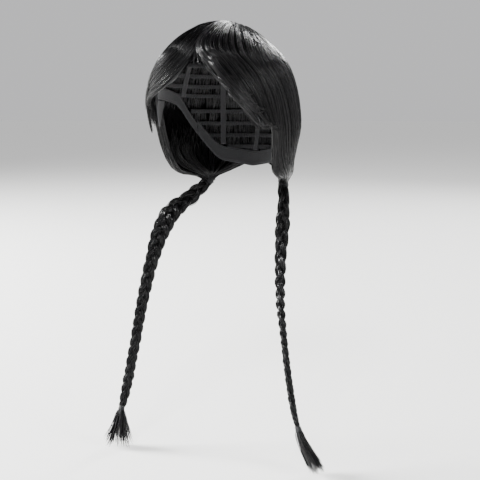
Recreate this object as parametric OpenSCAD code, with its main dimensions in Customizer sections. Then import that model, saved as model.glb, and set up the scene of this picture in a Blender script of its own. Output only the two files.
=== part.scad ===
// Costume wig with a curtain fringe and two long plaits.
// Millimetres. The origin is the middle of the head inside the cap, at eye height.
// +X is the wearer's left, -Y is the face side and +Z is up.

/* [Head and cap] */
// Half the width of the head that the cap is made for
head_side = 76; // [72:1:80]
// Half the length of that head from brow to back
head_length = 96; // [92:1:100]
// Height of the head's crown above the eyes
head_top = 103; // [99:1:107]
// Depth of the curve that the head follows below the eyes
head_low = 118; // [114:1:124]
// Thickness of the cap's fabric
cap_wall = 0.9; // [0.6:0.1:1.1]
// Height of the sewn band round the cap's edge
band_height = 16; // [12:1:18]
// Height of one sewn row of hair
weft_height = 5; // [4:1:6]

/* [Hair] */
// Depth of the combed hair over the head
hair_depth = 13; // [10:1:15]
// Thickness of the hair at its free edges
hair_edge = 7; // [6:0.5:9]
// Width of the gap where the fringe divides, in degrees round the head
parting = 1.2; // [0.6:0.2:2]

/* [Plaits] */
// Thickness of one tress as a share of its sideways swing in the plait
tress_share = 0.3; // [0.24:0.01:0.32]
// Radius of the wound band at the top of a plait
root_tie_r = 6.8; // [6:0.1:7]
// Radius of the small band at the bottom of a plait
end_tie_r = 3.6; // [3.2:0.1:4.5]
// Half the spread of the loose ends below the small band
tassel_spread = 15; // [10:1:18]

/* [Hidden] */

hair_black = [0.05, 0.05, 0.06];
cap_black = [0.16, 0.16, 0.18];
elastic_black = [0.22, 0.22, 0.25];
skin_beige = [0.62, 0.5, 0.42];
steel = [0.7, 0.7, 0.72];

// Sewn layers, counted outward from the head
seam_gap = 0.5;
weft_in = 1.3;
weft_out = 2.7;
hair_in = 4.2;
crown_line = 84;
crown_gap = 0.6;
side_start = 62;
back_start = 118;
tab_top = 19;

// Edge of the cap: degrees round the head from the face, and height
CAP_RIM = [[0, 78], [25, 70], [45, 45], [58, 21], [79, 20], [100, 14], [120, -25], [140, -58], [180, -66]];
// Lower edge of each ear tab, in the same terms
TAB_EDGE = [[60, 14], [69, -15], [78, 14]];
// Free lower edges of the hair, in the same terms
FRINGE_LEFT = [[6, 77], [10, 70], [18, 60], [27, 51], [33, 40], [45, 22], [53, 1], [62, -17]];
FRINGE_RIGHT = [[-5, 77], [3, 72], [8, 58], [16, 46], [25, 37], [40, 32], [55, 28], [62, 12]];
SIDE_LEFT = [[62, -17], [79, -20], [84, -40], [90, -66], [104, -70], [118, -70]];
SIDE_RIGHT = [[62, 12], [70, -6], [79, -20], [84, -40], [90, -66], [104, -70], [118, -70]];
BACK_EDGE = [[118, -70], [140, -70], [160, -68], [180, -64]];

// Sewn rows: height, and how far round from the face they start
WEFT_ROWS = [[62, 42], [49, 48], [36, 54], [24, 60], [4, 114], [-12, 120], [-28, 128], [-43, 149]];

// Plaits: x, y, z, width, turn of the flat side about the vertical, and plaiting turns so far
PLAIT_LEFT = [
  [54, 62, -86, 12, 29, 0], [60, 50, -112, 15, 29, 0.4], [66, 33, -146, 17, 29, 1.1],
  [74, 12, -184, 14, -10, 1.9], [84, -9, -224, 13, -40, 2.9], [97, -27, -262, 12, -56, 4.1],
  [112, -46, -303, 12, -60, 5.5], [126, -61, -338, 11, -60, 6.7], [136, -69, -357, 7, -60, 7.4]
];
PLAIT_RIGHT = [
  [-56, 60, -86, 14, 50, 0], [-71, 38, -106, 18, 40, 0.6], [-86, 14, -125, 24, 29, 1.2],
  [-90, -5, -146, 23, 29, 1.8], [-91, -26, -180, 18, 29, 2.7], [-89, -52, -228, 15, 29, 3.9],
  [-85, -80, -288, 13, 29, 5.6], [-85, -99, -336, 12, 29, 7.1], [-86, -108, -358, 7, 29, 7.8]
];
TASSEL_LEFT = [[138, -70, -362], [146, -74, -374], [157, -78, -386], [166, -80, -396]];
TASSEL_RIGHT = [[-86, -110, -363], [-85, -113, -375], [-84, -117, -388], [-84, -119, -400]];
bend_left = 4;
bend_right = 5;
root_cord_r = 1.1;
plait_first = 0.33;
plait_last = 7.7;
bend_gap = 0.09;
rings_per_turn = 14;
weave_depth = 0.55;

function mix(a, b, share) = a + (b - a) * share;
function unit(v) = v / norm(v);
function limit(v, low, high) = min(high, max(low, v));
// Degrees round the head from the face, the same on both sides
function round_head(w) = abs(w) > 180 ? 360 - abs(w) : abs(w);
function cap_rim(w) = lookup(round_head(w), CAP_RIM);

// A point at height z on the head's surface, t outside it
function on_head(w, z, t) =
  let (
    rise = (z > 0 ? head_top : head_low) + t,
    share = sqrt(max(0, 1 - pow(z / rise, 2)))
  )
  [(head_side + t) * share * sin(w), -(head_length + t) * share * cos(w), z];

// Depth of the hair, fuller low down at the sides and at the back
function hair_out(w, z) =
  hair_depth + 0.1 * max(0, -z) + 5 * max(0, -cos(w)) * (1 - 0.5 * max(0, z) / head_top);

// A point on a smooth curve through the rows of a list
function curve(rows, u) =
  let (
    i = limit(floor(u), 0, len(rows) - 2),
    f = u - i,
    a = rows[max(0, i - 1)],
    b = rows[i],
    c = rows[i + 1],
    d = rows[min(len(rows) - 1, i + 2)]
  )
  b + (c - a) * f / 2 + (2 * a - 5 * b + 4 * c - d) * f * f / 2 + (3 * b - a - 3 * c + d) * pow(f, 3) / 2;
function place(row) = [row[0], row[1], row[2]];
function heading(rows, u) = unit(place(curve(rows, u + 0.02)) - place(curve(rows, u - 0.02)));
// Sideways direction at right angles to the heading, turned about the vertical
function flat_side(along, turn) =
  let (across = [cos(turn), sin(turn), 0])
  unit(across - (across * along) * along);
// A ring of points round a centre
function ring(centre, side, front, half_w, half_t, sides) =
  [for (k = [0:sides - 1]) centre + side * half_w * cos(360 * k / sides) + front * half_t * sin(360 * k / sides)];

// A closed solid between two grids of points that face each other
module slab(outer, inner) {
  n = len(outer);
  m = len(outer[0]);
  o = function(i, j) i * m + j;
  q = function(i, j) n * m + i * m + j;
  faces = [
    for (i = [0:n - 2], j = [0:m - 2]) each [
      [o(i, j), o(i, j + 1), o(i + 1, j + 1)], [o(i, j), o(i + 1, j + 1), o(i + 1, j)],
      [q(i, j), q(i + 1, j + 1), q(i, j + 1)], [q(i, j), q(i + 1, j), q(i + 1, j + 1)]
    ],
    for (i = [0:n - 2]) each [
      [o(i, 0), o(i + 1, 0), q(i + 1, 0)], [o(i, 0), q(i + 1, 0), q(i, 0)],
      [o(i + 1, m - 1), o(i, m - 1), q(i, m - 1)], [o(i + 1, m - 1), q(i, m - 1), q(i + 1, m - 1)]
    ],
    for (j = [0:m - 2]) each [
      [o(0, j + 1), o(0, j), q(0, j)], [o(0, j + 1), q(0, j), q(0, j + 1)],
      [o(n - 1, j), o(n - 1, j + 1), q(n - 1, j + 1)], [o(n - 1, j), q(n - 1, j + 1), q(n - 1, j)]
    ]
  ];
  polyhedron(points = [each for (column = outer) column, each for (column = inner) column], faces = faces);
}

// A curved piece on the head from w0 to w1, between two edges and two depths
module head_piece(w0, w1, low, high, t_in, t_out, cols, rows) {
  span = [for (i = [0:cols]) mix(w0, w1, i / cols)];
  z = function(w, j) mix(low(w), high(w), j / rows);
  slab(
    [for (w = span) [for (j = [0:rows]) on_head(w, z(w, j), t_out(w, z(w, j), z(w, j) - low(w)))]],
    [for (w = span) [for (j = [0:rows]) on_head(w, z(w, j), t_in)]]
  );
}

// A closed bowl over the crown, above an edge
module dome(low, t_in, t_out, cols, rows) {
  grid = function(t) [
    for (j = [0:rows - 1], i = [0:cols - 1])
      let (w = 360 * i / cols, z = mix(low(w), head_top + t(w), sin(90 * j / rows)))
      on_head(w, z, t(w))
  ];
  shell = cols * rows;
  v = function(s, i, j) s * shell + j * cols + (i % cols);
  pole = function(s) 2 * shell + s;
  faces = [
    for (i = [0:cols - 1]) each [
      for (j = [0:rows - 2]) each [
        [v(0, i, j), v(0, i, j + 1), v(0, i + 1, j + 1)], [v(0, i, j), v(0, i + 1, j + 1), v(0, i + 1, j)],
        [v(1, i, j), v(1, i + 1, j + 1), v(1, i, j + 1)], [v(1, i, j), v(1, i + 1, j), v(1, i + 1, j + 1)]
      ],
      [v(0, i, rows - 1), pole(0), v(0, i + 1, rows - 1)],
      [v(1, i, rows - 1), v(1, i + 1, rows - 1), pole(1)],
      [v(0, i, 0), v(0, i + 1, 0), v(1, i + 1, 0)],
      [v(0, i, 0), v(1, i + 1, 0), v(1, i, 0)]
    ]
  ];
  tops = [[0, 0, head_top + t_out(0)], [0, 0, head_top + t_in(0)]];
  polyhedron(points = concat(grid(t_out), grid(t_in), tops), faces = faces);
}

// A closed solid through a row of rings
module loft(rings) {
  n = len(rings);
  s = len(rings[0]);
  faces = [
    for (i = [0:n - 2], k = [0:s - 1])
      let (a = i * s + k, b = i * s + (k + 1) % s)
      each [[a, a + s, b + s], [a, b + s, b]],
    [for (k = [0:s - 1]) k],
    [for (k = [s - 1:-1:0]) (n - 1) * s + k]
  ];
  polyhedron(points = [each for (r = rings) r], faces = faces);
}

// Fabric strip of even thickness
module fabric_strip(w0, w1, low, high, cols) {
  head_piece(w0, w1, low, high, 0, function(w, z, up) cap_wall, cols, 1);
}

module crown_net() {
  color(cap_black)
    dome(function(w) max(64, cap_rim(w) + band_height + seam_gap), function(w) 0, function(w) cap_wall, 28, 4);
}

// The round of thin skin that the crown hair is knotted into
module crown_patch() {
  color(skin_beige)
    dome(function(w) 96, function(w) weft_in, function(w) weft_in + cap_wall, 20, 3);
}

module front_band() {
  color(elastic_black)
    fabric_strip(-57.5, 57.5, function(w) cap_rim(w), function(w) cap_rim(w) + band_height, 16);
}

module side_band(side) {
  top = function(w) cap_rim(w) + band_height - 2;
  color(elastic_black)
    fabric_strip(side > 0 ? 58 : -119.5, side > 0 ? 119.5 : -58, function(w) cap_rim(w), top, 9);
}

module nape_band() {
  color(elastic_black)
    fabric_strip(120, 240, function(w) cap_rim(w), function(w) cap_rim(w) + band_height + 3, 14);
}

module ear_tab(side) {
  edge = function(w) lookup(abs(w), TAB_EDGE);
  color(cap_black)
    fabric_strip(side > 0 ? 60 : -78, side > 0 ? 78 : -60, edge, function(w) tab_top, 6);
}

// The bendable steel strip sewn down the ear tab
module ear_stay(side) {
  color(steel)
    head_piece(side * 69 - 1.4, side * 69 + 1.4, function(w) -7, function(w) 15,
      cap_wall + 0.2, function(w, z, up) cap_wall + 1, 1, 3);
}

// An elastic rib from the edge band up to the crown net
module rib(w, half_turn) {
  band = round_head(w) > 119 ? band_height + 3 : band_height - 2;
  foot = max(cap_rim(w - half_turn), cap_rim(w + half_turn)) + band + 2 * seam_gap;
  color(elastic_black)
    head_piece(w - half_turn, w + half_turn, function(a) foot, function(a) 63, 0,
      function(a, z, up) cap_wall, 1, 7);
}

// A sewn row of hair round the back of the head
module weft_row(row) {
  z = WEFT_ROWS[row][0];
  w = WEFT_ROWS[row][1];
  color(cap_black)
    head_piece(w, 360 - w, function(a) z, function(a) z + weft_height, weft_in,
      function(a, h, up) weft_out, ceil((360 - 2 * w) / 8), 1);
}

// The row that carries the fringe, along the front band
module weft_front() {
  low = function(a) cap_rim(a) + 4;
  color(cap_black)
    head_piece(-40, 40, low, function(a) low(a) + weft_height, weft_in, function(a, z, up) weft_out, 10, 1);
}

// Edges of the adjusting strap, which lies along the nape band
function strap_low(w) = cap_rim(w) + 6;

module adjuster_strap(side) {
  w0 = side > 0 ? 134 : -160;
  w1 = side > 0 ? 160 : -134;
  color(elastic_black)
    head_piece(w0, w1, function(w) strap_low(w), function(w) strap_low(w) + 7,
      cap_wall + 0.2, function(w, z, up) cap_wall + 0.8, 6, 1);
}

// The slider that shortens the strap: a flat plate with a raised lip
module adjuster_hook(side) {
  w0 = side > 0 ? 143 : -148;
  w1 = side > 0 ? 148 : -143;
  low = function(w) strap_low(145.5) - 1;
  color(steel) {
    head_piece(w0, w1, low, function(w) low(w) + 9, cap_wall + 1.2,
      function(w, z, up) cap_wall + 1.8, 2, 1);
    head_piece(side * 145.5 - 0.6, side * 145.5 + 0.6, low, function(w) low(w) + 9, cap_wall + 1.8,
      function(w, z, up) cap_wall + 2.6, 1, 1);
  }
}

// Small sewn loops near the middle of the nape that the strap's end hooks into
module adjuster_loops(side) {
  color(elastic_black)
    for (w = [164, 169, 174])
      head_piece(side * w - 1, side * w + 1, function(a) strap_low(w), function(a) strap_low(w) + 7,
        cap_wall + 0.2, function(a, z, up) cap_wall + 1.4, 1, 1);
}

// Depth of a lock of hair that thins toward its free lower edge
function lock_out(w, z, up) = mix(hair_edge, hair_out(w, z), sin(90 * limit(up / 30, 0, 1)));

module hair_crown() {
  color(hair_black)
    dome(function(w) crown_line + crown_gap, function(w) hair_in, function(w) hair_depth + 1, 28, 5);
}

module lock(w0, w1, edge, cols, rows) {
  color(hair_black)
    head_piece(w0, w1, edge, function(w) crown_line, hair_in, function(w, z, up) lock_out(w, z, up), cols, rows);
}

module hair_fringe_left() {
  lock(6 + parting, side_start - 0.3, function(w) lookup(w, FRINGE_LEFT), 10, 6);
}

module hair_fringe_right() {
  lock(0.3 - side_start, 6 - parting, function(w) lookup(-w, FRINGE_RIGHT), 11, 6);
}

module hair_side_left() {
  lock(side_start, back_start - 0.3, function(w) lookup(w, SIDE_LEFT), 9, 8);
}

module hair_side_right() {
  lock(0.3 - back_start, -side_start, function(w) lookup(-w, SIDE_RIGHT), 9, 8);
}

module hair_back(side) {
  w0 = side > 0 ? back_start : -179.8;
  w1 = side > 0 ? 179.8 : -back_start;
  lock(w0, w1, function(w) lookup(abs(w), BACK_EDGE), 8, 8);
}

// Hair drawn together under the side and back, down to the knot
module pigtail_base(route) {
  knot = place(route[0]);
  mouth = knot + [knot[0] * 0.06, -9, 14.5];
  throat = knot + [0, -1.5, 7.6];
  color(hair_black)
    loft([for (i = [5:-1:0])
      let (s = i / 5, centre = mix(throat, mouth, s))
      ring(centre, [1, 0, 0], [0, 1, 0], mix(5, 12, s), mix(5, 19, s * s), 16)]);
}

module hair_knot(route) {
  color(hair_black) translate(place(route[0])) sphere(r = root_tie_r - 2 * root_cord_r - 0.1, $fn = 32);
}

// An elastic band wound three times round the knot
module root_tie(route) {
  color(elastic_black) translate(place(route[0]))
    for (turn = [-1:1])
      translate([0, 0, turn * 2 * root_cord_r])
        rotate_extrude($fn = 48) translate([root_tie_r - root_cord_r, 0]) circle(r = root_cord_r - 0.02, $fn = 20);
}

// One tress of a plait, from step u0 to step u1 of its route
module tress(route, u0, u1, which) {
  count = ceil((curve(route, u1)[5] - curve(route, u0)[5]) * rings_per_turn);
  color(hair_black)
    loft([for (i = [0:count])
      let (
        u = mix(u0, u1, i / count),
        row = curve(route, u),
        along = heading(route, u),
        side = flat_side(along, row[4]),
        front = cross(along, side),
        reach = row[3] / 2 / (1 + tress_share),
        phase = 360 * row[5] + 120 * which
      )
      ring(place(row) + side * reach * sin(phase) + front * weave_depth * reach * sin(2 * phase),
        side, front, reach * tress_share, reach * tress_share, 6)]);
}

module braid_upper(route, bend) {
  for (which = [0:2]) tress(route, plait_first, bend - bend_gap, which);
}

module braid_lower(route, bend) {
  for (which = [0:2]) tress(route, bend + bend_gap, plait_last, which);
}

// A short wound band: a sleeve with rounded edges
module end_tie(route) {
  last = len(route) - 1;
  along = heading(route, last - 0.03);
  color(elastic_black) translate(place(route[last]))
    rotate([0, acos(along[2]), atan2(along[1], along[0])])
      rotate_extrude($fn = 32) translate([end_tie_r - 0.6, 0]) {
        translate([-0.5, -2.4]) square([1.1, 4.8]);
        for (turn = [-1:1]) translate([0.6, turn * 1.6]) circle(r = 0.8, $fn = 16);
      }
}

// Loose ends fanning out below the band
module tassel(ends, turn) {
  color(hair_black)
    loft([for (i = [0:6])
      let (
        u = i / 2,
        along = heading(ends, limit(u, 0.03, 2.97)),
        side = flat_side(along, turn),
        spread = mix(2.4, tassel_spread, pow(i / 6, 1.3))
      )
      ring(curve(ends, u), side, cross(along, side), spread, mix(2.4, spread * 0.45, i / 6), 14)]);
}

crown_net();
crown_patch();
front_band();
side_band(1);  // side_band_left
side_band(-1);  // side_band_right
nape_band();
ear_tab(1);  // ear_tab_left
ear_tab(-1);  // ear_tab_right
ear_stay(1);  // ear_stay_left
ear_stay(-1);  // ear_stay_right
rib(180, 2.4);  // rib_back
rib(145, 2.6);  // rib_back_left
rib(-145, 2.6);  // rib_back_right
rib(104, 2.8);  // rib_side_left
rib(-104, 2.8);  // rib_side_right
weft_front();
weft_row(0);  // weft_row_1
weft_row(1);  // weft_row_2
weft_row(2);  // weft_row_3
weft_row(3);  // weft_row_4
weft_row(4);  // weft_row_5
weft_row(5);  // weft_row_6
weft_row(6);  // weft_row_7
weft_row(7);  // weft_row_8
adjuster_strap(1);  // adjuster_strap_left
adjuster_strap(-1);  // adjuster_strap_right
adjuster_hook(1);  // adjuster_hook_left
adjuster_hook(-1);  // adjuster_hook_right
adjuster_loops(1);  // adjuster_loops_left
adjuster_loops(-1);  // adjuster_loops_right
hair_crown();
hair_fringe_left();
hair_fringe_right();
hair_side_left();
hair_side_right();
hair_back(1);  // hair_back_left
hair_back(-1);  // hair_back_right
pigtail_base(PLAIT_LEFT);  // pigtail_base_left
pigtail_base(PLAIT_RIGHT);  // pigtail_base_right
hair_knot(PLAIT_LEFT);  // hair_knot_left
hair_knot(PLAIT_RIGHT);  // hair_knot_right
root_tie(PLAIT_LEFT);  // root_tie_left
root_tie(PLAIT_RIGHT);  // root_tie_right
braid_upper(PLAIT_LEFT, bend_left);  // braid_upper_left
braid_upper(PLAIT_RIGHT, bend_right);  // braid_upper_right
braid_lower(PLAIT_LEFT, bend_left);  // braid_lower_left
braid_lower(PLAIT_RIGHT, bend_right);  // braid_lower_right
end_tie(PLAIT_LEFT);  // end_tie_left
end_tie(PLAIT_RIGHT);  // end_tie_right
tassel(TASSEL_LEFT, 29);  // tassel_left
tassel(TASSEL_RIGHT, 29);  // tassel_right
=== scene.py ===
import math

import bpy
import numpy as np
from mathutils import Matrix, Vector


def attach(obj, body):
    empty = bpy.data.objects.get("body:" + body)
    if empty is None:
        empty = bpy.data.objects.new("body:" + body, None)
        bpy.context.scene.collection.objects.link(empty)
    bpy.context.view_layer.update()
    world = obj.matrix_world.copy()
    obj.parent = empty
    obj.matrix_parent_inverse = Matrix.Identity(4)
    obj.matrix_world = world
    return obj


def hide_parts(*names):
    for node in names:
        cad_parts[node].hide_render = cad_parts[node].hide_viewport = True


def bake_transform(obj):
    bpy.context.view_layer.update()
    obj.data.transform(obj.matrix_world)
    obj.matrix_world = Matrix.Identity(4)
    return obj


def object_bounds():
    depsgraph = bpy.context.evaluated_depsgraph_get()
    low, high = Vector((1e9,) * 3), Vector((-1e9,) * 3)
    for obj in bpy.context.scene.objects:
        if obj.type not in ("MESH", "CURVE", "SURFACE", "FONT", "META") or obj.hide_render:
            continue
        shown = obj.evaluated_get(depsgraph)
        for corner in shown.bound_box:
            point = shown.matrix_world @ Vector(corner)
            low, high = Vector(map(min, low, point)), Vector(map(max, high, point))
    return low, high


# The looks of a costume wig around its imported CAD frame: combed hair, two plaits and the cap inside

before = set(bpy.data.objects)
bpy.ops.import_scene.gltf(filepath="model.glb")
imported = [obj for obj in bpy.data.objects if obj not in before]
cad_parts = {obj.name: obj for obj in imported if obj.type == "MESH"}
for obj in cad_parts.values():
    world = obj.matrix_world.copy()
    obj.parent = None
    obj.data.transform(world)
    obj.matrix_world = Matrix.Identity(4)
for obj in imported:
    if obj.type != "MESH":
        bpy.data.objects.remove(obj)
CAD_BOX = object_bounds()
# Height of the table that the loose ends rest on, in metres
FLOOR = CAD_BOX[0][2]

# Guide tables are in millimetres and degrees, as in the CAD source. Everything made from them is in metres.
MM = 0.001

# The head that the cap is shaped on: half width, half depth, and height above and below the origin
HEAD_SIDE = 76
HEAD_LENGTH = 96
HEAD_TOP = 103
HEAD_LOW = 118
HAIR_DEPTH = 13
# The crown hair lies closer than the fullest hair
CROWN_SHARE = 0.82
# How far the whorl is behind the middle of the head
WHORL_BACK = 27

# ---------------------------------------------------------------- the head's surface


def hair_out(w, z):
    """Depth of the hair outside the head, fuller low down and at the back."""
    behind = max(0, -math.cos(math.radians(w)))
    return HAIR_DEPTH + 0.1 * max(0, -z) + 5 * behind * (1 - 0.5 * max(0, z) / HEAD_TOP)


def on_head(w, z, t):
    """Point at height z, w degrees round from the face to the wearer's left, t outside the head."""
    rise = (HEAD_TOP if z > 0 else HEAD_LOW) + t
    share = math.sqrt(max(0, 1 - (z / rise) ** 2))
    angle = math.radians(w)
    return ((HEAD_SIDE + t) * share * math.sin(angle), -(HEAD_LENGTH + t) * share * math.cos(angle), z)


def over_crown(x, y, t):
    """Point above (x, y) on the crown, t outside the head."""
    rise = HEAD_TOP + t
    return x, y, rise * np.sqrt(1 - (x / (HEAD_SIDE + t)) ** 2 - (y / (HEAD_LENGTH + t)) ** 2)


def half_sizes(up, t):
    """Half sizes of the surface t outside the head, above or below the origin."""
    return np.stack([HEAD_SIDE + t, HEAD_LENGTH + t, np.where(up > 0, HEAD_TOP, HEAD_LOW) + t], axis=-1)


def to_shell(points):
    """Turns points into rows of a direction from the head's middle and a depth outside its surface."""
    points = np.asarray(points, float)
    t = np.full(points.shape[:-1], 5.0)
    for _ in range(12):
        sizes = half_sizes(points[..., 2], t)
        miss = np.sum((points / sizes) ** 2, axis=-1) - 1
        slope = -2 * np.sum(points**2 / sizes**3, axis=-1)
        t = t - miss / slope
    rows = points / half_sizes(points[..., 2], t)
    return np.concatenate([rows, t[..., None]], axis=-1)


def from_shell(rows):
    """Turns directions and depths back into points, in millimetres."""
    way = rows[..., :3] / np.linalg.norm(rows[..., :3], axis=-1, keepdims=True)
    return way * half_sizes(way[..., 2], rows[..., 3])


def outward(points):
    """Unit direction away from the head at each point."""
    slope = points / half_sizes(points[..., 2], np.zeros(points.shape[:-1])) ** 2
    return slope / np.linalg.norm(slope, axis=-1, keepdims=True)


# ---------------------------------------------------------------- curves and meshes


def ease(x):
    """Smooth step from 0 to 1."""
    x = np.clip(x, 0, 1)
    return x * x * (3 - 2 * x)


def unit(v):
    return v / np.maximum(np.linalg.norm(v, axis=-1, keepdims=True), 1e-12)


def curve(rows, places):
    """Smooth curve through the rows, at places counted in rows."""
    rows = np.asarray(rows, float)
    places = np.clip(np.asarray(places, float), 0, len(rows) - 1)
    i = np.minimum(places.astype(int), len(rows) - 2)
    f = (places - i).reshape(places.shape + (1,) * (rows.ndim - 1))
    a, b, c, d = rows[np.maximum(i - 1, 0)], rows[i], rows[i + 1], rows[np.minimum(i + 2, len(rows) - 1)]
    return b + (c - a) * f / 2 + (2 * a - 5 * b + 4 * c - d) * f**2 / 2 + (3 * b - a - 3 * c + d) * f**3 / 2


def taper(share, tail, least):
    """Share of full thickness along a strand that thins over its tail, to the least share at its tip."""
    return np.clip((1 - share) / tail, least, 1)


def square_to(axis):
    """Two directions at right angles to an axis."""
    side = unit(np.cross(axis, (0, 1, 0)))
    return side, np.cross(axis, side)


def run_length(points):
    """Distance along a row of points to each of them."""
    return np.concatenate([[0], np.cumsum(np.linalg.norm(np.diff(points, axis=0), axis=1))])


def even_rows(rows, count, reach=None):
    """Rows an equal distance apart along the smooth curve through shell rows, as far as reach."""
    fine = curve(rows, np.linspace(0, len(rows) - 1, 300))
    run = run_length(from_shell(fine))
    want = np.linspace(0, min(reach or run[-1], run[-1]), count)
    return np.stack([np.interp(want, run, fine[:, k]) for k in range(rows.shape[1])], axis=1)


class Shape:
    """Gathers vertices, faces and a tone for each vertex, then makes one mesh of them."""

    def __init__(self):
        self.points, self.tones, self.faces, self.count = [], [], [], 0

    def add(self, points, faces, tones=0.5):
        """Adds points in millimetres, with faces given as arrays of equal-sided faces."""
        points = np.asarray(points, float).reshape(-1, 3)
        self.points.append(points * MM)
        self.tones.append(np.broadcast_to(tones, (len(points),)))
        self.faces += [np.asarray(block, int) + self.count for block in faces if len(block)]
        self.count += len(points)

    def piece(self, name, material, slot):
        mesh = bpy.data.meshes.new(name)
        mesh.vertices.add(self.count)
        mesh.vertices.foreach_set("co", np.concatenate(self.points).ravel())
        corners = np.concatenate([block.ravel() for block in self.faces])
        sides = np.concatenate([np.full(len(block), block.shape[1]) for block in self.faces])
        mesh.loops.add(len(corners))
        mesh.loops.foreach_set("vertex_index", corners)
        mesh.polygons.add(len(sides))
        mesh.polygons.foreach_set("loop_start", np.concatenate([[0], np.cumsum(sides)[:-1]]))
        mesh.update(calc_edges=True)
        mesh.attributes.new("tone", "FLOAT", "POINT").data.foreach_set("value", np.concatenate(self.tones))
        mesh.shade_smooth()
        mesh.materials.append(material)
        made = bpy.data.objects.new(name, mesh)
        bpy.context.scene.collection.objects.link(made)
        return made


def tube_faces(paths, rings, sides):
    """Side faces and end faces of closed tubes whose vertices run path by path, ring by ring."""
    n, r, k = np.meshgrid(np.arange(paths), np.arange(rings - 1), np.arange(sides), indexing="ij")
    a = (n * rings + r) * sides + k
    b = (n * rings + r) * sides + (k + 1) % sides
    walls = np.stack([a, b, b + sides, a + sides], axis=-1).reshape(-1, 4)
    first = np.arange(paths)[:, None] * rings * sides + np.arange(sides)[None, ::-1]
    last = (np.arange(paths)[:, None] * rings + rings - 1) * sides + np.arange(sides)[None, :]
    return [walls, first, last]


def add_tubes(shape, paths, radii, sides=3, tones=None, towards=None):
    """Adds a closed tube along each path. Radii has a number for each ring, or one for all."""
    count, rings = paths.shape[:2]
    along = unit(np.gradient(paths, axis=1))
    if towards is None:
        towards = outward(paths)
    side = unit(np.cross(along, towards))
    front = np.cross(side, along)
    angle = 2 * math.pi * np.arange(sides) / sides
    across = side[:, :, None] * np.cos(angle)[:, None] + front[:, :, None] * np.sin(angle)[:, None]
    points = paths[:, :, None] + across * np.broadcast_to(radii, (count, rings))[:, :, None, None]
    if tones is not None:
        tones = np.repeat(tones, rings * sides)
    shape.add(points, tube_faces(count, rings, sides), 0.5 if tones is None else tones)


def add_slab(shape, outer, inner, tone=0.2):
    """Adds a closed sheet between two grids of points that face each other."""
    n, m = outer.shape[:2]
    i, j = np.meshgrid(np.arange(n - 1), np.arange(m - 1), indexing="ij")
    a = (i * m + j).ravel()
    top = np.stack([a, a + 1, a + m + 1, a + m], axis=-1)
    low = top[:, ::-1] + n * m
    rim = [np.arange(m), np.arange(m) + (n - 1) * m, np.arange(n) * m, np.arange(n) * m + m - 1]
    turned = [True, False, False, True]
    walls = []
    for edge, flip in zip(rim, turned):
        wall = np.stack([edge[:-1], edge[1:], edge[1:] + n * m, edge[:-1] + n * m], axis=-1)
        walls.append(wall[:, ::-1] if flip else wall)
    shape.add(np.concatenate([outer.reshape(-1, 3), inner.reshape(-1, 3)]), [top, low] + walls, tone)


# ---------------------------------------------------------------- materials


def new_material(name, colour, roughness):
    """A Principled material, its shader and its node tree."""
    made = bpy.data.materials.new(name)
    made.use_nodes = True
    tree = made.node_tree
    shader = tree.nodes["Principled BSDF"]
    shader.inputs["Base Color"].default_value = (*colour, 1)
    shader.inputs["Roughness"].default_value = roughness
    return made, shader, tree


def link_ramp(tree, source, low, high, target, ends=(0, 1)):
    """Links a number to a colour socket through a ramp from one colour to another."""
    ramp = tree.nodes.new("ShaderNodeValToRGB")
    ramp.color_ramp.elements[0].position, ramp.color_ramp.elements[1].position = ends
    ramp.color_ramp.elements[0].color = (*low, 1)
    ramp.color_ramp.elements[1].color = (*high, 1)
    tree.links.new(source, ramp.inputs["Fac"])
    tree.links.new(ramp.outputs["Color"], target)


def link_range(tree, source, low, high, target):
    """Links a number from 0 to 1 to a socket, as a number from low to high."""
    spread = tree.nodes.new("ShaderNodeMapRange")
    spread.inputs["To Min"].default_value = low
    spread.inputs["To Max"].default_value = high
    tree.links.new(source, spread.inputs["Value"])
    tree.links.new(spread.outputs["Result"], target)


def link_bump(tree, source, height, shader, strength=1.0):
    """Links a number to a shader's normal, as bumps of a height in metres."""
    bump = tree.nodes.new("ShaderNodeBump")
    bump.inputs["Distance"].default_value = height
    bump.inputs["Strength"].default_value = strength
    tree.links.new(source, bump.inputs["Height"])
    tree.links.new(bump.outputs["Normal"], shader.inputs["Normal"])


def noise_texture(tree, scale, detail):
    """Fine even noise, as a number."""
    noise = tree.nodes.new("ShaderNodeTexNoise")
    noise.inputs["Scale"].default_value = scale
    noise.inputs["Detail"].default_value = detail
    return noise.outputs["Fac"]


def hair_material(name, low, high):
    """Near-black gloss fibre, each strand a little different in tone and shine."""
    made, shader, tree = new_material(name, low, 0.25)
    tone = tree.nodes.new("ShaderNodeAttribute")
    tone.attribute_name = "tone"
    link_ramp(tree, tone.outputs["Fac"], low, high, shader.inputs["Base Color"])
    link_range(tree, tone.outputs["Fac"], 0.22, 0.36, shader.inputs["Roughness"])
    shader.inputs["Specular IOR Level"].default_value = 0.17
    return made


COMBED = hair_material("combed_hair", (0.0015, 0.0015, 0.0018), (0.01, 0.0095, 0.01))
PLAITED = hair_material("plaited_hair", (0.0015, 0.0015, 0.0018), (0.012, 0.0115, 0.012))

# ---------------------------------------------------------------- how the hair is combed

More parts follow.
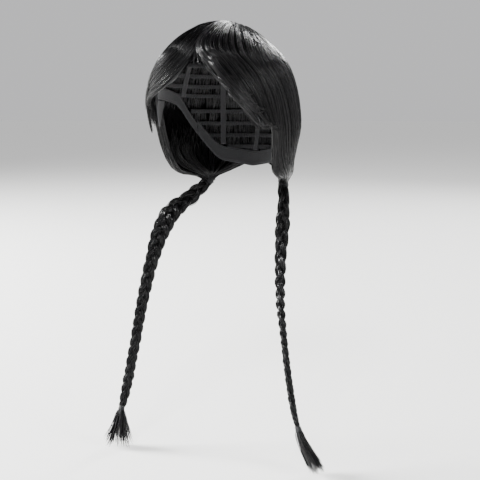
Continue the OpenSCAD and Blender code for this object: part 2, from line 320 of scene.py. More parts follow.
# Each guide is a line that the hair follows: points over the crown (x to the wearer's own side, y to the
# back), then points down the head (degrees round from the face, height, share of the hair's full depth).
FRINGE_LEFT = [
    ([(3, 20), (4, -10), (4, -46)],
     [(6, 79, 0.8), (13, 67, 0.65), (21, 54, 0.57), (29, 43, 0.55), (38, 29, 0.55), (47, 12, 0.57),
      (55, -5, 0.6), (61, -15, 0.62)]),
    ([(4, 20), (9, -8), (12, -44)],
     [(14, 80, 0.95), (24, 65, 0.83), (34, 49, 0.75), (43, 32, 0.7), (52, 14, 0.68), (61, -5, 0.66),
      (68, -15, 0.68)]),
    ([(5, 20), (15, -6), (23, -40)],
     [(30, 78, 1), (41, 60, 0.95), (50, 42, 0.88), (58, 23, 0.8), (65, 3, 0.74), (71, -12, 0.72),
      (77, -17, 0.74)]),
    ([(6, 21), (19, -2), (33, -31)],
     [(48, 73, 1), (58, 54, 1), (65, 34, 0.98), (70, 13, 0.93), (75, -7, 0.86), (80, -18, 0.8)]),
    ([(6, 22), (22, 4), (40, -18)],
     [(60, 68, 1), (69, 46, 1), (75, 24, 1), (78, 2, 0.97), (81, -16, 0.9)]),
]
FRINGE_RIGHT = [
    ([(-3, 20), (-6, -10), (-8, -46)],
     [(-6, 76, 0.75), (-1, 63, 0.6), (6, 50, 0.56), (14, 40, 0.56), (25, 31, 0.6), (38, 25, 0.72),
      (51, 19, 0.9), (60, 6, 0.95)]),
    ([(0, 20), (0, -9), (2, -45)],
     [(6, 80, 0.92), (15, 65, 0.85), (26, 53, 0.82), (39, 43, 0.88), (51, 33, 1.0), (60, 20, 1.08),
      (65, 3, 1.0)]),
    ([(4, 20), (9, -7), (16, -41)],
     [(24, 79, 1), (35, 66, 1.02), (46, 55, 1.08), (57, 43, 1.15), (65, 27, 1.18), (70, 8, 1.1),
      (72, -9, 0.95)]),
    ([(5, 21), (15, -4), (28, -34)],
     [(43, 74, 1.02), (54, 62, 1.1), (63, 49, 1.16), (70, 33, 1.18), (75, 15, 1.1), (78, -4, 0.98),
      (80, -17, 0.88)]),
    ([(6, 22), (22, 4), (40, -18)],
     [(60, 68, 1), (69, 46, 1.05), (75, 24, 1.08), (78, 2, 1), (81, -16, 0.9)]),
]
SIDE = [
    ([(6, 22), (21, 5), (38, -18)],
     [(58, 66, 0.8), (67, 45, 0.7), (73, 24, 0.6), (77, 2, 0.48), (80, -18, 0.38), (83, -38, 0.33),
      (87, -56, 0.36), (93, -71, 0.42)]),
    ([(6, 22), (22, 4), (40, -18)],
     [(60, 68, 1), (69, 46, 1), (75, 24, 1), (78, 2, 0.95), (81, -18, 0.86), (84, -38, 0.8),
      (89, -55, 0.82), (98, -68, 0.88)]),
    ([(6, 24), (25, 14), (47, -4)],
     [(77, 66, 1), (84, 44, 1), (89, 20, 1), (93, -4, 1), (96, -28, 0.88), (101, -50, 0.82),
      (110, -66, 0.88)]),
    ([(6, 27), (27, 23), (50, 14)],
     [(97, 64, 1), (102, 40, 1), (105, 14, 1), (107, -12, 1), (109, -36, 0.8), (114, -56, 0.78),
      (122, -67, 0.85)]),
    ([(6, 30), (24, 33), (43, 36)],
     [(118, 66, 1), (120, 40, 1), (120, 12, 1), (120, -14, 0.98), (121, -36, 0.78), (126, -57, 0.78)]),
]
BACK = [
    SIDE[-1],
    ([(5, 32), (16, 43), (29, 54)],
     [(136, 68, 1), (137, 42, 1), (136, 14, 1), (135, -12, 0.98), (135, -38, 0.85), (137, -59, 0.85)]),
    ([(3, 33), (9, 48), (16, 63)],
     [(156, 70, 1), (156, 44, 1), (155, 16, 1), (153, -12, 1), (150, -38, 0.9), (146, -60, 0.88)]),
    ([(1, 34), (2, 50), (3, 66)],
     [(176, 72, 1), (176, 46, 1), (176, 18, 1), (174, -10, 0.98), (168, -36, 0.92), (158, -56, 0.9),
      (150, -68, 0.88)]),
    ([(0, 34), (-1, 50), (-1, 66)],
     [(181, 72, 0.98), (181, 40, 0.95), (181, 10, 0.93), (181, -20, 0.88), (179, -42, 0.78),
      (172, -59, 0.68), (160, -68, 0.7)]),
]
# Where each side and back guide enters the bunch, measured from the knot: outward, back and up
SIDE_ENTRY = [(9, -25, 9), (14, -24, 10), (12, -12, 10), (8, -2, 9), (6, 6, 10)]
BACK_ENTRY = [SIDE_ENTRY[-1], (3, 10, 10), (-2, 12, 10), (-6, 10, 8), (-8, 8, 7)]
# Hair from the lowest rows, inside the cap, which closes the bunch on its inner side
INSIDE = [
    ([], [(168, -20, 0.35), (164, -45, 0.32), (156, -62, 0.35)]),
    ([], [(135, -10, 0.32), (133, -40, 0.3), (131, -60, 0.32)]),
    ([], [(108, -10, 0.32), (108, -38, 0.3), (112, -58, 0.38)]),
    ([], [(92, -8, 0.34), (94, -34, 0.3), (99, -54, 0.34)]),
]
INSIDE_ENTRY = [(-10, 4, 10), (-6, -4, 12), (-2, -12, 13), (4, -20, 12)]

# Plait routes, the same as the CAD routes: x, y, z, width, turn of the flat side, plaiting turns
ROUTE_LEFT = np.array([
    (54, 62, -86, 12, 29, 0), (60, 50, -112, 15, 29, 0.4), (66, 33, -146, 17, 29, 1.1),
    (74, 12, -184, 14, -10, 1.9), (84, -9, -224, 13, -40, 2.9), (97, -27, -262, 12, -56, 4.1),
    (112, -46, -303, 12, -60, 5.5), (126, -61, -338, 11, -60, 6.7), (136, -69, -357, 7, -60, 7.4),
])
ROUTE_RIGHT = np.array([
    (-56, 60, -86, 14, 50, 0), (-71, 38, -106, 18, 40, 0.6), (-86, 14, -125, 24, 29, 1.2),
    (-90, -5, -146, 23, 29, 1.8), (-91, -26, -180, 18, 29, 2.7), (-89, -52, -228, 15, 29, 3.9),
    (-85, -80, -288, 13, 29, 5.6), (-85, -99, -336, 12, 29, 7.1), (-86, -108, -358, 7, 29, 7.8),
])
ENDS_LEFT = [(138, -70, -362), (146, -74, -374), (157, -78, -386), (166, -80, -396)]
ENDS_RIGHT = [(-86, -110, -363), (-85, -113, -375), (-84, -117, -388), (-84, -119, -400)]
KNOT = {1: ROUTE_LEFT[0, :3], -1: ROUTE_RIGHT[0, :3]}
# The word for each hand, as used in piece and node names
WORD = {1: "left", -1: "right"}
GUIDE_ROWS = 60


def guide(line, hand, entry=None):
    """A guide's points, in shell rows. Hand is 1 on the wearer's left and -1 on the right."""
    crown, fall = line
    points = [over_crown(hand * x, y, CROWN_SHARE * HAIR_DEPTH) for x, y in crown]
    points += [on_head(hand * w, z, share * hair_out(w, z)) for w, z, share in fall]
    if entry is not None:
        out, back, up = entry
        points.append(KNOT[hand] + np.array([hand * out, back, up]))
        points.append(KNOT[hand] + np.array([hand * out * 0.3, back * 0.3, up * 0.45]))
        points.append(KNOT[hand] + np.array([0, 0, -2]))
    return to_shell(points)


def guides(lines, hand, entries=None, reach=None):
    """A row of even guides side by side."""
    entries = entries or [None] * len(lines)
    return np.stack([even_rows(guide(line, hand, e), GUIDE_ROWS, reach) for line, e in zip(lines, entries)])


# ---------------------------------------------------------------- strands


def along_guides(rows, share):
    """Shell rows on each guide at shares of its length, straight between its own rows."""
    at = share * (GUIDE_ROWS - 1)
    i = np.minimum(at.astype(int), GUIDE_ROWS - 2)
    f = (at - i)[..., None]
    each = np.arange(len(rows))[:, None]
    return rows[each, i] * (1 - f) + rows[each, i + 1] * f


def comb(shape, lines, count, seed, begin=(0, 0.45), end=(0.8, 1), thick=4.5, locks=None, pull=0.75, lift=1.6,
         wave=0.5, radius=0.3, rings=17, knot=None, stray=0.03, closed=False, root_sink=5):
    """Adds combed strands that follow a row of guides, drawn into locks with pointed ends."""
    rng = np.random.default_rng(seed)
    locks = locks or count // 16
    if closed:
        lines = np.concatenate([lines, lines[:2]])
    span = len(lines) - (2 if closed else 1)
    across = rng.uniform(0, span, count)
    middle = np.sort(rng.uniform(0, span, locks))
    nearest = np.clip(np.searchsorted((middle[1:] + middle[:-1]) / 2, across), 0, locks - 1)
    lock_layer = rng.uniform(0, 1, locks)
    lock_end = end[1] - (end[1] - end[0]) * rng.uniform(0, 1, locks) ** 1.5
    s0 = rng.uniform(begin[0], begin[1], count)
    s1 = np.clip(lock_end[nearest] + rng.normal(0, 0.02, count), end[0] - 0.05, 1)
    s0 = np.minimum(s0, s1 - 0.15)

    place = np.linspace(0, 1, GUIDE_ROWS)
    rows = curve(lines, across)
    rows += (curve(lines, middle)[nearest] - rows) * (pull * ease(place / s1.mean()))[None, :, None]

    s = s0[:, None] + (s1 - s0)[:, None] * np.linspace(0, 1, rings)
    rows = along_guides(rows, s)

    own = np.linspace(0, 1, rings)[None, :]
    gather = ease((s - 0.82) / 0.18) if knot is not None else np.zeros_like(s)
    layer = 1 - rng.uniform(0, 1, count) ** 1.6
    depth = (1 - layer)[:, None] * thick + root_sink * (1 - ease(own / 0.14)) * (s0 > 0.02)[:, None]
    rise = lift * (lock_layer[nearest] - 0.5)[:, None] * ease(s / 0.3)
    flown = (rng.uniform(0, 1, count) < stray) * rng.uniform(0.6, 2.2, count)
    rows[..., 3] += (rise - depth) * (1 - gather) + flown[:, None] * own**2 * (1 - gather)

    points = from_shell(rows)
    along = unit(np.gradient(points, axis=1))
    sideways = np.cross(outward(points), along)
    turns = rng.uniform(0.6, 1.6, locks)[nearest][:, None]
    start = rng.uniform(0, 2 * math.pi, locks)[nearest][:, None]
    swing = wave * np.sin(2 * math.pi * turns * s + start) * ease(s / 0.5) * (1 - gather)
    sway = rng.normal(0, 0.35, count)[:, None]
    drift = sway * np.sin(math.pi * rng.uniform(1, 3, count)[:, None] * own + start)
    points += sideways * (swing + drift * (1 - gather))[..., None]
    if knot is not None:
        angle = rng.uniform(0, 2 * math.pi, count)
        out = knot * np.sqrt(rng.uniform(0.1, 1, count))
        disc = np.stack([out * np.cos(angle), out * np.sin(angle), np.zeros(count)], axis=-1)
        points += disc[:, None] * gather[..., None]

    tip = taper(own, 0.3, 0.12) ** 0.7 if knot is None else taper(own, 0.06, 0.35)
    size = radius * rng.uniform(0.75, 1.2, count)[:, None] * tip * np.clip(0.5 + own * 6, 0.5, 1)
    tones = 0.6 * rng.uniform(0, 1, locks)[nearest] ** 2 + 0.4 * rng.uniform(0, 1, count) ** 2
    add_tubes(shape, points, size, tones=tones)


def underlay(shape, lines, seed, stop=0.85, top=2.0, low=6.0, columns=8, steps=36):
    """Adds the dense hair below the strands: a closed sheet with combed ridges."""
    rng = np.random.default_rng(seed)
    wide = (len(lines) - 1) * columns + 1
    rows = curve(lines, np.linspace(0, len(lines) - 1, wide))
    stops = stop * (1 - 0.05 * rng.uniform(0, 1, wide))
    rows = along_guides(rows, stops[:, None] * np.linspace(0, 1, steps)[None, :])
    ridge = 0.5 * rng.uniform(-1, 1, wide)[:, None]
    thin = 1 - 0.9 * ease((np.linspace(0, 1, steps) - 0.8) / 0.2)[None, :]
    middle = (top + low) / 2
    half = (low - top) / 2 * thin
    outer, inner = rows.copy(), rows.copy()
    outer[..., 3] -= middle - half - ridge * thin
    inner[..., 3] -= middle + half
    add_slab(shape, from_shell(outer), from_shell(inner))


def finish_piece(shape, name, material, slot, body, *nodes):
    """Makes a piece that rides on a body and stands for CAD nodes."""
    made = shape.piece(name, material, slot)
    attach(made, body)
    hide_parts(*nodes)


def finish_knotted(shape, name, material, slot, node):
    """Makes a piece of the head's hair whose ends are bound in a knot, and hides the CAD node that it stands
    for.
    """
    made = shape.piece(name, material, slot)
    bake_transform(made)
    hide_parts(node)


def hair_piece(name, lines, count, seed, node, shell=0.85, extra=None, bound=0, **how):
    """A piece of combed hair over its underlay. Bound is the hand of the knot that it runs into, or 0."""
    shape = Shape()
    if shell:
        underlay(shape, lines, seed + 500, stop=shell)
    comb(shape, lines, count, seed, **how)
    if extra:
        extra(shape)
    if bound:
        finish_knotted(shape, name, COMBED, "combed_hair", node)
    else:
        finish_piece(shape, name, COMBED, "combed_hair", "root", node)


left_fringe = guides(FRINGE_LEFT, 1)
right_fringe = guides(FRINGE_RIGHT, -1)

# Short pointed wisps that fall from the parting, and wavy ends that flick up toward the left ear
WISPS = [
    [(6, 78, 0.75), (7, 70, 0.62), (8, 62, 0.56), (9, 53, 0.54)],
    [(8, 77, 0.76), (10, 69, 0.63), (12, 62, 0.57), (13, 55, 0.55)],
    [(10, 76, 0.78), (13, 68, 0.65), (16, 61, 0.58), (18, 55, 0.56)],
    [(14, 72, 0.78), (18, 63, 0.68), (22, 54, 0.6), (25, 46, 0.57)],
]
FLICKS = 11


def add_wisp(shape, fall, hand, count, seed, crown=(), spread=1.4, pull=0.96):
    """Adds one narrow lock whose strands meet in a pointed end."""
    edges = [(list(crown), [(w + turn, z, share) for w, z, share in fall]) for turn in (-spread, spread)]
    comb(shape, guides(edges, hand), count, seed, begin=(0, 0.25), end=(0.9, 1), thick=1.5, locks=1,
         pull=pull, radius=0.28, rings=16, stray=0.1)


def parting_wisps(shape):
    for i, fall in enumerate(WISPS):
        add_wisp(shape, fall, 1, 30, 200 + i, crown=[(4 + i, -46)])
    rng = np.random.default_rng(210)
    for i in range(FLICKS):
        w = 40 + 2.3 * i + rng.uniform(-3, 3)
        z = 38 - 4.4 * i + rng.uniform(-4, 4)
        flick = rng.uniform(0, 1.2)
        long = rng.uniform(0.6, 1.25)
        fall = [(w - 20, z + 34, 0.97), (w - 11, z + 18, 0.94), (w - 3, z + 4, 0.88)]
        fall += [(w + 3 * long, z - 6 * long, 0.84), (w + 8 * long, z - (11 - 2 * flick) * long, 0.84),
                 (w + 13 * long, z - (13 - 7 * flick) * long, 0.88)]
        add_wisp(shape, fall, 1, 30, 220 + i, spread=2.0 + rng.uniform(0, 1.2), pull=0.8)


def temple_wisps(shape):
    rng = np.random.default_rng(250)
    for i in range(9):
        w = 56 + 1.6 * i + rng.uniform(-1, 1)
        z = 24 - 3 * i + rng.uniform(-3, 3)
        add_wisp(shape, [(w - 13, z + 18, 1), (w - 6, z + 10, 1.05), (w, z, 1.05), (w + 3, z - 12, 0.95),
                         (w + 5, z - 22, 0.86)], -1, 26, 260 + i, spread=1.2)


def nape_wisps(shape, hand):
    """Short underneath hair that hangs in the gap between the two halves at the nape."""
    for i, w in enumerate((179, 175, 170)):
        add_wisp(shape, [(w, -6, 0.5), (w, -24, 0.42), (w - 1, -42, 0.36), (w - 2, -58 + 2 * i, 0.36)],
                 hand, 60, 280 + i, spread=3.5, pull=0.3)


hair_piece("fringe_left_hair", left_fringe, 1550, 11, "hair_fringe_left", shell=0.8, extra=parting_wisps,
           end=(0.6, 1), wave=1.0)
hair_piece("fringe_right_hair", right_fringe, 1650, 12, "hair_fringe_right", shell=0.8, extra=temple_wisps,
           end=(0.72, 1), wave=0.6)
for word, hand, seed in (("left", 1, 13), ("right", -1, 15)):
    hair_piece(f"side_{word}_hair", guides(SIDE, hand, SIDE_ENTRY), 1850, seed, f"hair_side_{word}",
               shell=0.92, bound=hand, end=(0.93, 1), knot=4.2)
    hair_piece(f"back_{word}_hair", guides(BACK, hand, BACK_ENTRY), 1750, seed + 1, f"hair_back_{word}",
               shell=0.92, bound=hand, end=(0.93, 1), knot=4.2,
               extra=lambda shape, hand=hand: nape_wisps(shape, hand))

crown_lines = np.concatenate([
    guides(FRINGE_LEFT[:-1], 1, reach=110), guides(SIDE[1:], 1, reach=110), guides(BACK[1:-1], 1, reach=110),
    guides(BACK[-2:0:-1], -1, reach=110), guides(SIDE[:0:-1], -1, reach=110),
    guides(FRINGE_RIGHT[-2::-1], -1, reach=110),
])


def whorl(shape):
    """Adds the short hair that fans out from the middle of the whorl, below the long strands."""
    rng = np.random.default_rng(31)
    count = 380
    share = np.linspace(0, 1, 12)[None, :]
    turn = rng.uniform(0, 2 * math.pi, count)[:, None] + 0.5 * share
    away = rng.uniform(0.2, 3, count)[:, None] + rng.uniform(12, 20, count)[:, None] * share
    depth = 7.5 + rng.uniform(1, 2.8, count)[:, None] * ease(share / 0.4)
    points = np.stack(over_crown(away * np.sin(turn), WHORL_BACK + away * np.cos(turn), depth), axis=-1)
    size = 0.3 * taper(share, 0.25, 0.2)
    add_tubes(shape, points, np.broadcast_to(size, (count, 12)), tones=rng.uniform(0, 0.6, count))


hair_piece("crown_hair", crown_lines, 1440, 17, "hair_crown", shell=0.6, begin=(0, 0.1), end=(0.35, 0.95),
           closed=True, thick=2.5, extra=whorl)


def bunch(name, hand, seed, node):
    """Hair drawn together behind the jaw, down into the knot."""
    ring = SIDE + BACK[1:] + INSIDE
    tails = [([], fall[-3:]) for _, fall in ring]
    lines = guides(tails, hand, SIDE_ENTRY + BACK_ENTRY[1:] + INSIDE_ENTRY)
    hair_piece(name, lines, 1300, seed, node, shell=None, bound=hand, begin=(0, 0.3), end=(0.97, 1),
               closed=True, knot=4.4, thick=2, rings=18)


bunch("bunch_left", 1, 21, "pigtail_base_left")
bunch("bunch_right", -1, 22, "pigtail_base_right")

# ---------------------------------------------------------------- plaits

# Shares of the plait's width: how far a tress swings sideways and from front to back, and its own half sizes
SIDE_REACH = 0.30
WEAVE = 0.165
TRESS_HALF_WIDTH = 0.235
TRESS_HALF_DEPTH = 0.2


def plait_frame(route, u):
    """Centre, side and front directions, width and phase at places u along a route."""
    rows = curve(route, u)
    along = unit(curve(route, u + 0.02)[:, :3] - curve(route, u - 0.02)[:, :3])
    turn = np.radians(rows[:, 4])
    across = np.stack([np.cos(turn), np.sin(turn), np.zeros_like(turn)], axis=-1)
    side = unit(across - np.sum(across * along, axis=1, keepdims=True) * along)
    return rows[:, :3], side, np.cross(along, side), rows[:, 3:4], 2 * math.pi * rows[:, 5:6]


def tress_path(route, u, which):
    """Centre of one tress of a plait, its section's two directions, and the plait's width."""
    centre, side, front, width, phase = plait_frame(route, u)
    phase = phase + 2 * math.pi * which / 3
    path = centre + side * SIDE_REACH * width * np.sin(phase) + front * WEAVE * width * np.sin(2 * phase)
    tangent = unit(np.gradient(path, axis=0))
    flat = unit(np.cross(front, tangent))
    return path, flat, np.cross(tangent, flat), width


def tress(name, route, hand, which, seed, fibres=62, fuzz=46):
    """One tress: a core with fibres laid over it, some of them loose, and fuzz at its surface."""
    rng = np.random.default_rng(seed)
    turns = route[-1, 5]
    u = np.linspace(0.1, 7.75, int(turns * 20))
    path, flat, deep, width = tress_path(route, u, which)
    share = np.linspace(0, 1, len(u))
    loose = ease((0.55 - share) / 0.55)[None, :]
    swell = np.sin(share * turns * 9 + seed) * np.sin(share * turns * 4.3 + 2 * seed)
    full = 1 + (0.05 + 0.1 * loose[0]) * swell
    half_w = (TRESS_HALF_WIDTH * width[:, 0] * full)[None, :]
    half_d = (TRESS_HALF_DEPTH * width[:, 0] * (1.5 - 0.5 * full))[None, :]

    def around(theta, out):
        return (path[None] + flat[None] * (half_w * out * np.cos(theta))[..., None]
                + deep[None] * (half_d * out * np.sin(theta))[..., None])

    shape = Shape()
    angle = np.linspace(0, 2 * math.pi, 10, endpoint=False)[:, None] + 0 * share[None, :]
    shape.add(around(angle, 0.8).transpose(1, 0, 2), tube_faces(1, len(u), 10), 0.1)

    start = rng.uniform(0, 2 * math.pi, fibres)[:, None]
    theta = start + turns * share[None, :] * rng.uniform(-0.35, 0.35, fibres)[:, None]
    theta += 0.25 * np.sin(share[None, :] * turns * 2.5 + start * 3)
    rate = rng.uniform(2, 5, fibres)[:, None]
    puff = (0.03 + 0.09 * loose) * np.sin(share[None, :] * turns * rate + start * 7)
    stray = (rng.uniform(0, 1, fibres) < 0.12)[:, None] * (0.08 + 0.22 * loose)
    out = rng.uniform(0.8, 1.0, fibres)[:, None] + puff
    out = out + stray * np.sin(share[None, :] * turns * 1.7 + start) ** 2
    fibre = around(theta, out)
    size = rng.uniform(0.24, 0.4, fibres)[:, None]
    add_tubes(shape, fibre, size, tones=rng.uniform(0, 1, fibres) ** 2, towards=unit(fibre - path[None]))

    rings = 8
    first = (rng.uniform(0, 0.86, fuzz) ** 1.3 * (len(u) - 30)).astype(int)
    steps = first[:, None] + np.linspace(0, 1, rings)[None, :] * rng.uniform(8, 22, fuzz)[:, None]
    at = np.clip(steps, 0, len(u) - 1).astype(int)
    turn = rng.uniform(0, 2 * math.pi, fuzz)[:, None]
    lifted = 0.85 + rng.uniform(0.25, 0.7, fuzz)[:, None] * np.linspace(0, 1, rings)[None, :] ** 1.5
    hairs = (curve(path, steps) + curve(flat, steps) * (half_w[0][at] * lifted * np.cos(turn))[..., None]
             + curve(deep, steps) * (half_d[0][at] * lifted * np.sin(turn))[..., None])
    thin = 0.2 * taper(np.linspace(0, 1, rings), 0.5, 0.25)
    add_tubes(shape, hairs, thin[None, :], tones=rng.uniform(0, 1, fuzz))

    made = shape.piece(name, PLAITED, "plaited_hair")
    word = WORD[hand]
    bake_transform(made)
    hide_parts(f"braid_upper_{word}", f"braid_lower_{word}")
    return made


for which in range(3):
    tress(f"tress_left_{which + 1}", ROUTE_LEFT, 1, which, 31 + which)
    tress(f"tress_right_{which + 1}", ROUTE_RIGHT, -1, which, 41 + which)


def knot_bundle(name, route, seed, node):
    """The bound hair inside the root band."""
    rng = np.random.default_rng(seed)
    count, rings = 90, 12
    u = np.linspace(0, 1, rings)
    axis = unit(curve(route, np.array([0.3]))[0, :3] - route[0, :3])
    centre = route[0, :3] + np.outer(ease(u) * 13 - 7, axis)
    angle = rng.uniform(0, 2 * math.pi, count)[:, None] + 0.5 * u[None, :]
    out = 4.4 * np.sqrt(rng.uniform(0.4, 1, count))[:, None] * (1 + 0.35 * (2 * u - 1)[None, :] ** 2)
    side, front = square_to(axis)
    paths = centre[None] + side * (out * np.cos(angle))[..., None] + front * (out * np.sin(angle))[..., None]
    shape = Shape()
    add_tubes(shape, paths, 0.4, tones=rng.uniform(0, 1, count) ** 2, towards=unit(paths - centre[None]))
    finish_knotted(shape, name, PLAITED, "plaited_hair", node)


def tie_material():
    """Elastic hair band: dark, with fine ribs of thread."""
    made, shader, tree = new_material("hair_tie", (0.006, 0.006, 0.007), 0.55)
    wave = tree.nodes.new("ShaderNodeTexWave")
    wave.inputs["Scale"].default_value = 900
    wave.inputs["Distortion"].default_value = 1.5
    thread = wave.outputs["Fac"]
    link_ramp(tree, thread, (0.004, 0.004, 0.005), (0.016, 0.016, 0.018), shader.inputs["Base Color"])
    shader.inputs["Specular IOR Level"].default_value = 0.25
    link_bump(tree, thread, 0.0002, shader)
    return made


TIE = tie_material()


def wound_band(name, centre, axis, radius, cord, turns, seed, node, body):
    """An elastic band wound round a bunch: one cord in an uneven helix."""
    rng = np.random.default_rng(seed)
    steps = int(turns * 28)
    u = np.linspace(0, 1, steps)
    angle = 2 * math.pi * turns * u
    side, front = square_to(axis)
    out = radius + 0.25 * np.sin(angle * 0.37 + 1) - 0.8 * ease((abs(2 * u - 1) - 0.9) / 0.1)
    climb = (u - 0.5) * turns * cord * 1.9 + rng.normal(0, 0.02, steps) + 0.3 * np.sin(angle * 1.1)
    path = centre + np.outer(out * np.cos(angle), side) + np.outer(out * np.sin(angle), front)
    path = path + np.outer(climb, axis)
    shape = Shape()
    size = cord * np.clip(0.3 + 12 * np.minimum(u, 1 - u), 0.3, 1)
    add_tubes(shape, path[None], size[None], sides=8, towards=unit(path - centre)[None])
    finish_piece(shape, name, TIE, "hair_tie", body, node)


def tassel(name, ends, route, turn, spread, seed, node, body, fibres=240):
    """Loose ends that fan out below the lower band and rest on the floor."""
    rng = np.random.default_rng(seed)
    rings = 16
    rows = np.concatenate([route[-1:, :3], np.asarray(ends, float)])
    u = np.linspace(0, 1, rings)
    reach = rng.uniform(0.72, 1, fibres) ** 0.8
    reach[: fibres // 12] = rng.uniform(1.0, 1.12, fibres // 12)
    centre = curve(rows, np.outer(reach, u) * (len(rows) - 1))
    beyond = unit(rows[-1] - rows[-2]) * 12
    centre += beyond * (np.clip(reach - 1, 0, 1)[:, None] * u)[..., None] * 3
    heading = unit(rows[-1] - rows[0])
    across = np.array([math.cos(math.radians(turn)), math.sin(math.radians(turn)), 0])
    side = unit(across - across @ heading * heading)
    front = np.cross(heading, side)
    angle = rng.uniform(0, 2 * math.pi, fibres)
    out = np.sqrt(rng.uniform(0, 1, fibres))
    fan = 2.2 + (spread - 2.2) * u[None, :] ** rng.uniform(1.0, 1.7, fibres)[:, None]
    curl = rng.normal(0, 0.7, (fibres, 1)) * np.sin(u[None, :] * rng.uniform(2, 6, (fibres, 1)))
    wide = out[:, None] * fan * np.cos(angle)[:, None] + curl
    deep = out[:, None] * np.minimum(fan, 2.2 + 0.45 * fan) * np.sin(angle)[:, None] + curl * 0.5
    points = centre + side * wide[..., None] + front * deep[..., None]
    rest = FLOOR / MM + 0.4 + 0.5 * rng.uniform(0, 1, fibres)[:, None]
    points[..., 2] = np.maximum(points[..., 2], rest)
    size = rng.uniform(0.24, 0.38, fibres)[:, None] * taper(u, 0.25, 0.2)[None, :] ** 0.6
    shape = Shape()
    away = unit(points - centre + 1e-6)
    add_tubes(shape, points, size, tones=rng.uniform(0, 1, fibres) ** 1.5, towards=away)
    finish_piece(shape, name, PLAITED, "plaited_hair", body, node)


def plait_end_axis(route):
    return unit(curve(route, np.array([7.99]))[0, :3] - curve(route, np.array([7.93]))[0, :3])


for hand, route, ends, turn, spread, seed in (
    (1, ROUTE_LEFT, ENDS_LEFT, -60, 15, 51), (-1, ROUTE_RIGHT, ENDS_RIGHT, 29, 18, 52),
):
    word = WORD[hand]
    root_axis = unit(curve(route, np.array([0.2]))[0, :3] - route[0, :3])
    knot_bundle(f"knot_{word}", route, seed, f"hair_knot_{word}")
    wound_band(f"root_band_{word}", route[0, :3], root_axis, 5.6, 1.15, 4.2, seed + 10, f"root_tie_{word}",
               f"plait_root_{word}")
    wound_band(f"end_band_{word}", route[-1, :3], plait_end_axis(route), 3.2, 0.75, 5.2, seed + 20,
               f"end_tie_{word}", f"plait_lower_{word}")
    tassel(f"tassel_{word}_hair", ends, route, turn, spread, seed + 30, f"tassel_{word}",
           f"plait_lower_{word}")

# ---------------------------------------------------------------- the cap inside

# Heights of the cap's rim and of the ear tab's lower edge, at degrees round from the face, as in the CAD
CAP_RIM = np.array([
    (0, 78), (25, 70), (45, 45), (58, 21), (79, 20), (100, 14), (120, -25), (140, -58), (180, -66),
])
TAB_EDGE = np.array([(60, 14), (69, -15), (78, 14)])
WEFT_ROWS = [(62, 42), (49, 48), (36, 54), (24, 60), (4, 114), (-12, 120), (-28, 128), (-43, 149)]
# Degrees on either side over which the corners of those edges are rounded off
RIM_ROUNDING = (-6, -4, -2, 0, 2, 4, 6)
TAB_ROUNDING = (-1, 0, 1)
BAND_HEIGHT = 16
CAP_WALL = 0.9
WEFT_IN, WEFT_OUT, WEFT_HEIGHT = 1.3, 2.7, 5
# Height of the adjusting straps' lower edge above the rim, and the straps' width
STRAP_RISE, STRAP_WIDTH = 6, 7
# Height of the net's edge on the crown, and of the straight top edge of the ear tabs
NET_LOW = 64
TAB_TOP = 19


def look_up(w, table, rounding):
    """Height from a table, at degrees round from the face on either side, with its corners rounded off."""
    w = np.abs(w)
    w = np.where(w > 180, 360 - w, w)
    return sum(np.interp(np.abs(w + turn), table[:, 0], table[:, 1]) for turn in rounding) / len(rounding)


def cap_rim(w):
    return look_up(w, CAP_RIM, RIM_ROUNDING)


def tab_edge(w):
    return look_up(w, TAB_EDGE, TAB_ROUNDING)


def on_cap(w, z, t):
    """Points on the head's surface, t outside it, for arrays of degrees and heights."""
    w, z, t = np.broadcast_arrays(np.radians(w), np.asarray(z, float), np.asarray(t, float))
    share = np.sqrt(np.maximum(0, 1 - (z / (np.where(z > 0, HEAD_TOP, HEAD_LOW) + t)) ** 2))
    return np.stack([(HEAD_SIDE + t) * share * np.sin(w), -(HEAD_LENGTH + t) * share * np.cos(w), z], axis=-1)


def add_strip(shape, w0, w1, low, height, t_in, t_out, step=1.0, rows=6, rib=0.0, pitch=2, tone=0.4):
    """Adds a woven strip of a height above its low edge, with a fine rib across it every pitch columns."""
    cols = max(2, int(abs(w1 - w0) * 1.6 / step))
    w = np.linspace(w0, w1, cols + 1)[:, None]
    share = np.linspace(0, 1, rows + 1)[None, :]
    z = low(w) + height * share
    ripple = rib * (np.arange(cols + 1)[:, None] % pitch == 0)
    add_slab(shape, on_cap(w, z, t_out + ripple), on_cap(w, z, t_in - ripple + rib), tone)


def add_cord(shape, path, radius, sides=6, tone=0.7):
    add_tubes(shape, path[None], np.full((1, len(path)), radius), sides=sides, tones=np.array([tone]))


def add_stitches(shape, w, z, t, length=2.2, gap=1.1, radius=0.24, slant=0.0, tone=0.9):
    """Adds a row of sewn thread along a line of degrees and heights, in short raised stitches."""
    run = run_length(on_cap(w, z, t))
    starts = np.arange(0.5, run[-1] - length, length + gap)
    share = np.linspace(0, 1, 5)
    at = starts[:, None] + length * share[None, :]
    tilt = slant * (share - 0.5)[None, :]
    high = 0.28 * np.sin(math.pi * share)[None, :] - 0.1
    paths = on_cap(np.interp(at, run, w), np.interp(at, run, z) + tilt, t + high)
    size = radius * np.array([0.6, 1, 1, 1, 0.6])[None, :]
    add_tubes(shape, paths, size, sides=4, tones=np.full(len(paths), tone))


